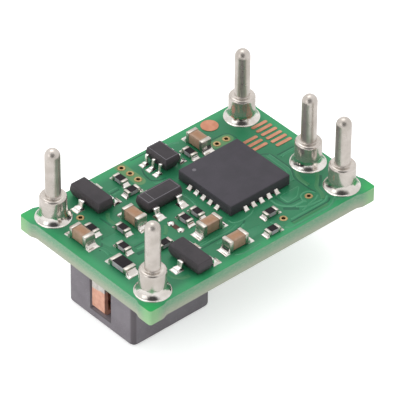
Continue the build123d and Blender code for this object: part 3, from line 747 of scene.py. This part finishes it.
middle_terminal = (TERMINALS_PER_SIDE - 1) / 2
terminal_joints = [
    joint(CONTROLLER, heading, TERMINAL_REACH, (index - middle_terminal) * TERMINAL_PITCH)
    for heading in (0, 90, 180, 270) for index in range(TERMINALS_PER_SIDE)
]
fillets("controller", terminal_joints, half=0.19, core=0.15, back=0.04, toe=0.27, rise=0.2, power=1.8)

foot = {"toe": 0.28, "pad": 0.06, "power": 2.2}
feet = lead_ends(DRIVER, DRIVER_LEADS, DRIVER_REACH)
fillets("driver", feet, half=0.21, core=0.13, back=0.3, rise=0.1, **foot)
for number, place in enumerate(TRANSISTORS, start=1):
    feet = lead_ends(place, TRANSISTOR_LEADS, TRANSISTOR_REACH)
    fillets(f"transistor_{number}", feet, half=0.32, core=0.23, back=0.4, rise=0.11, **foot)

bumps = bmesh.new()
bump_outline = dome(BOARD_TOP - 0.01, BUMP_RADIUS, BUMP_HEIGHT, 8)
for index, place in enumerate(BUMPS):
    lathe(bumps, bump_outline, place, segments=32, wobble=0.02, seed=index * 7)
piece("bare_bumps", bumps, [SOLDER], ("bare_solder_bumps",), sharp=60)

# Packages and chip parts
rounded("controller_body", 0.035, [CHIP])
rounded("controller_terminals", 0.02, [TIN], segments=1)
rounded("driver_body", 0.04, [MOULD], segments=3, upright=0.05)
rounded("driver_leads", 0.03, [LEAD])
for number in range(1, len(TRANSISTORS) + 1):
    rounded(f"transistor_{number}_body", 0.045, [MOULD], segments=3, upright=0.11)
    rounded(f"transistor_{number}_leads", 0.035, [LEAD])
for kind, places in (("capacitor", CAPACITORS), ("output_capacitor", OUTPUT_CAPACITORS)):
    for number in range(1, len(places) + 1):
        rounded(f"{kind}_{number}", 0.03, [CERAMIC])
        rounded(f"{kind}_{number}_end_caps", 0.022, [TIN])
for kind in ("resistor", "large_resistor"):
    rounded(f"{kind}_bodies", 0.012, [ALUMINA], segments=1)
    rounded(f"{kind}_films", 0.01, [FILM], segments=1)
    rounded(f"{kind}_terminations", 0.035, [TIN])
paint("bare_strip", BARE)
paint("inductor_lands", COPPER)


# Fine lines on two of the leaded packages, and the corner dot on the controller
def printed_line(bm, line, width, top):
    """A fine line that stands just proud of a package's top."""
    raised_line(bm, line, width, top - 0.004, 0.008, 0.012)


def printed_frame(bm, place, half_x, half_y, width, top):
    """A closed rectangle of fine lines round a package's middle."""
    x, y = place
    left, right, front, rear = x - half_x, x + half_x, y - half_y, y + half_y
    corners = [(left, front), (right, front), (right, rear), (left, rear)]
    printed_line(bm, corners + corners[:1], width, top)


marks = bmesh.new()
x, y = TRANSISTORS[1][:2]
frame_x = 1.29
frame_y = 0.48
bar_x = x - 0.79
printed_frame(marks, (x, y), frame_x, frame_y, width=0.055, top=TRANSISTOR_TOP)
printed_line(marks, [(bar_x, y - frame_y), (bar_x, y + frame_y)], width=0.055, top=TRANSISTOR_TOP)
printed_frame(marks, DRIVER[:2], half_x=0.49, half_y=0.86, width=0.05, top=DRIVER_TOP)
dot_outline = [(0.14, CONTROLLER_TOP - 0.002), (0.12, CONTROLLER_TOP + 0.005), (0, CONTROLLER_TOP + 0.003)]
lathe(marks, dot_outline, CONTROLLER_DOT, segments=32)
piece("package_lines", marks, [PRINT])

# Inductor
rounded("inductor_core", 0.09, [FERRITE], segments=3)
rounded("inductor_core_plate", 0.05, [FERRITE])
paint("inductor_winding", WINDING)
paint("inductor_solder", SOLDER)

# Stage: a pale floor, its reach in metres
FLOOR_REACH = 1.2
floor_mesh = bpy.data.meshes.new("floor")
floor_corners = [(x * FLOOR_REACH, y * FLOOR_REACH, 0) for x, y in ((-1, -1), (1, -1), (1, 1), (-1, 1))]
floor_mesh.from_pydata(floor_corners, [], [(0, 1, 2, 3)])
floor = bpy.data.objects.new("floor", floor_mesh)
bpy.context.scene.collection.objects.link(floor)
floor_shader = Shader("floor", Base_Color=(0.93, 0.93, 0.93, 1.0), Roughness=0.9, Specular_IOR_Level=0.1)
floor_shader.surface.inputs["Emission Color"].default_value = (1, 1, 1, 1)
floor_rays = floor_shader.node("ShaderNodeLightPath").outputs
to_camera = floor_shader.math("MULTIPLY", floor_rays["Is Camera Ray"], 0.54)
to_glossy = floor_shader.math("MULTIPLY", floor_rays["Is Glossy Ray"], 0.15)
floor_shader.set("Emission Strength", floor_shader.math("ADD", to_camera, to_glossy))
floor_mesh.materials.append(floor_shader.material)

# Surroundings: white for the camera, softer as a light, and with a dark spot round the camera in reflections
CAMERA_SIDE = (-0.52, -0.583, 0.624)
world = bpy.data.worlds.new("surroundings")
bpy.context.scene.world = world
world.use_nodes = True
sky = Nodes(world.node_tree)
background = sky.tree.nodes["Background"]
sky_rays = sky.node("ShaderNodeLightPath").outputs
direction = sky.node("ShaderNodeTexCoord").outputs["Generated"]


def facing(toward, low, high, strength):
    """A strength where the sky lies towards a direction, falling to 0."""
    aim = {0: direction, 1: Vector(toward).normalized()}
    dot = sky.node("ShaderNodeVectorMath", aim, operation="DOT_PRODUCT").outputs["Value"]
    return sky.math("MULTIPLY", sky.ramp(dot, low, high), strength)


glow = sky.math("ADD", 0.6, facing((0, 0, 1), -0.1, 0.95, 0.3))
glow = sky.math("ADD", glow, facing((-1, 0.1, 0.1), 0.2, 0.9, 0.25))
glow = sky.math("SUBTRACT", glow, facing((0.35, -1, 0.1), 0.3, 0.95, 0.3))
mirrored = sky.math("SUBTRACT", 1.0, facing(CAMERA_SIDE, 0.72, 0.95, 0.94))
change = sky.math("MULTIPLY", sky.math("SUBTRACT", mirrored, glow), sky_rays["Is Glossy Ray"])
strength = sky.math("MAXIMUM", sky.math("ADD", glow, change), sky_rays["Is Camera Ray"])
background.inputs["Color"].default_value = (1, 1, 1, 1)
sky.tree.links.new(strength, background.inputs["Strength"])


def lamp(name, place, size, power):
    """A square soft lamp that looks at the object; place and size in metres."""
    light = bpy.data.lights.new(name, "AREA")
    light.shape = "SQUARE"
    light.size = size
    light.energy = power
    made = bpy.data.objects.new(name, light)
    made.location = place
    aim = Vector((0, 0, 0.005)) - Vector(place)
    made.rotation_euler = aim.to_track_quat("-Z", "Y").to_euler()
    bpy.context.scene.collection.objects.link(made)


lamp("overhead", (0.06, 0.14, 0.34), 0.22, 0.25)
lamp("left", (-0.34, 0.02, 0.16), 0.2, 0.1)

# Camera at the photograph's place, which was fitted to the board's corners and the pins
azimuth = radians(-41.7381)
elevation = radians(38.6354)
roll = radians(0.5493)
distance = 265.7101
aim_point = Vector((0.1265, -0.0127, BOARD_TOP))
back = Vector((sin(azimuth) * cos(elevation), -cos(azimuth) * cos(elevation), sin(elevation)))
right = Vector((cos(azimuth), sin(azimuth), 0))
above = back.cross(right)
level_right = right * cos(roll) + above * sin(roll)
level_up = above * cos(roll) - right * sin(roll)
spot = (aim_point + back * distance) * MM
camera = bpy.data.objects.new("camera", bpy.data.cameras.new("camera"))
bpy.context.scene.collection.objects.link(camera)
camera.data.sensor_width = 36.0
camera.data.lens = 378.59
camera.data.clip_start = 0.02
camera.data.clip_end = 20
camera.matrix_world = Matrix.Translation(spot) @ Matrix((level_right, level_up, back)).transposed().to_4x4()
bpy.context.scene.camera = camera

bpy.context.scene.view_settings.view_transform = "Standard"
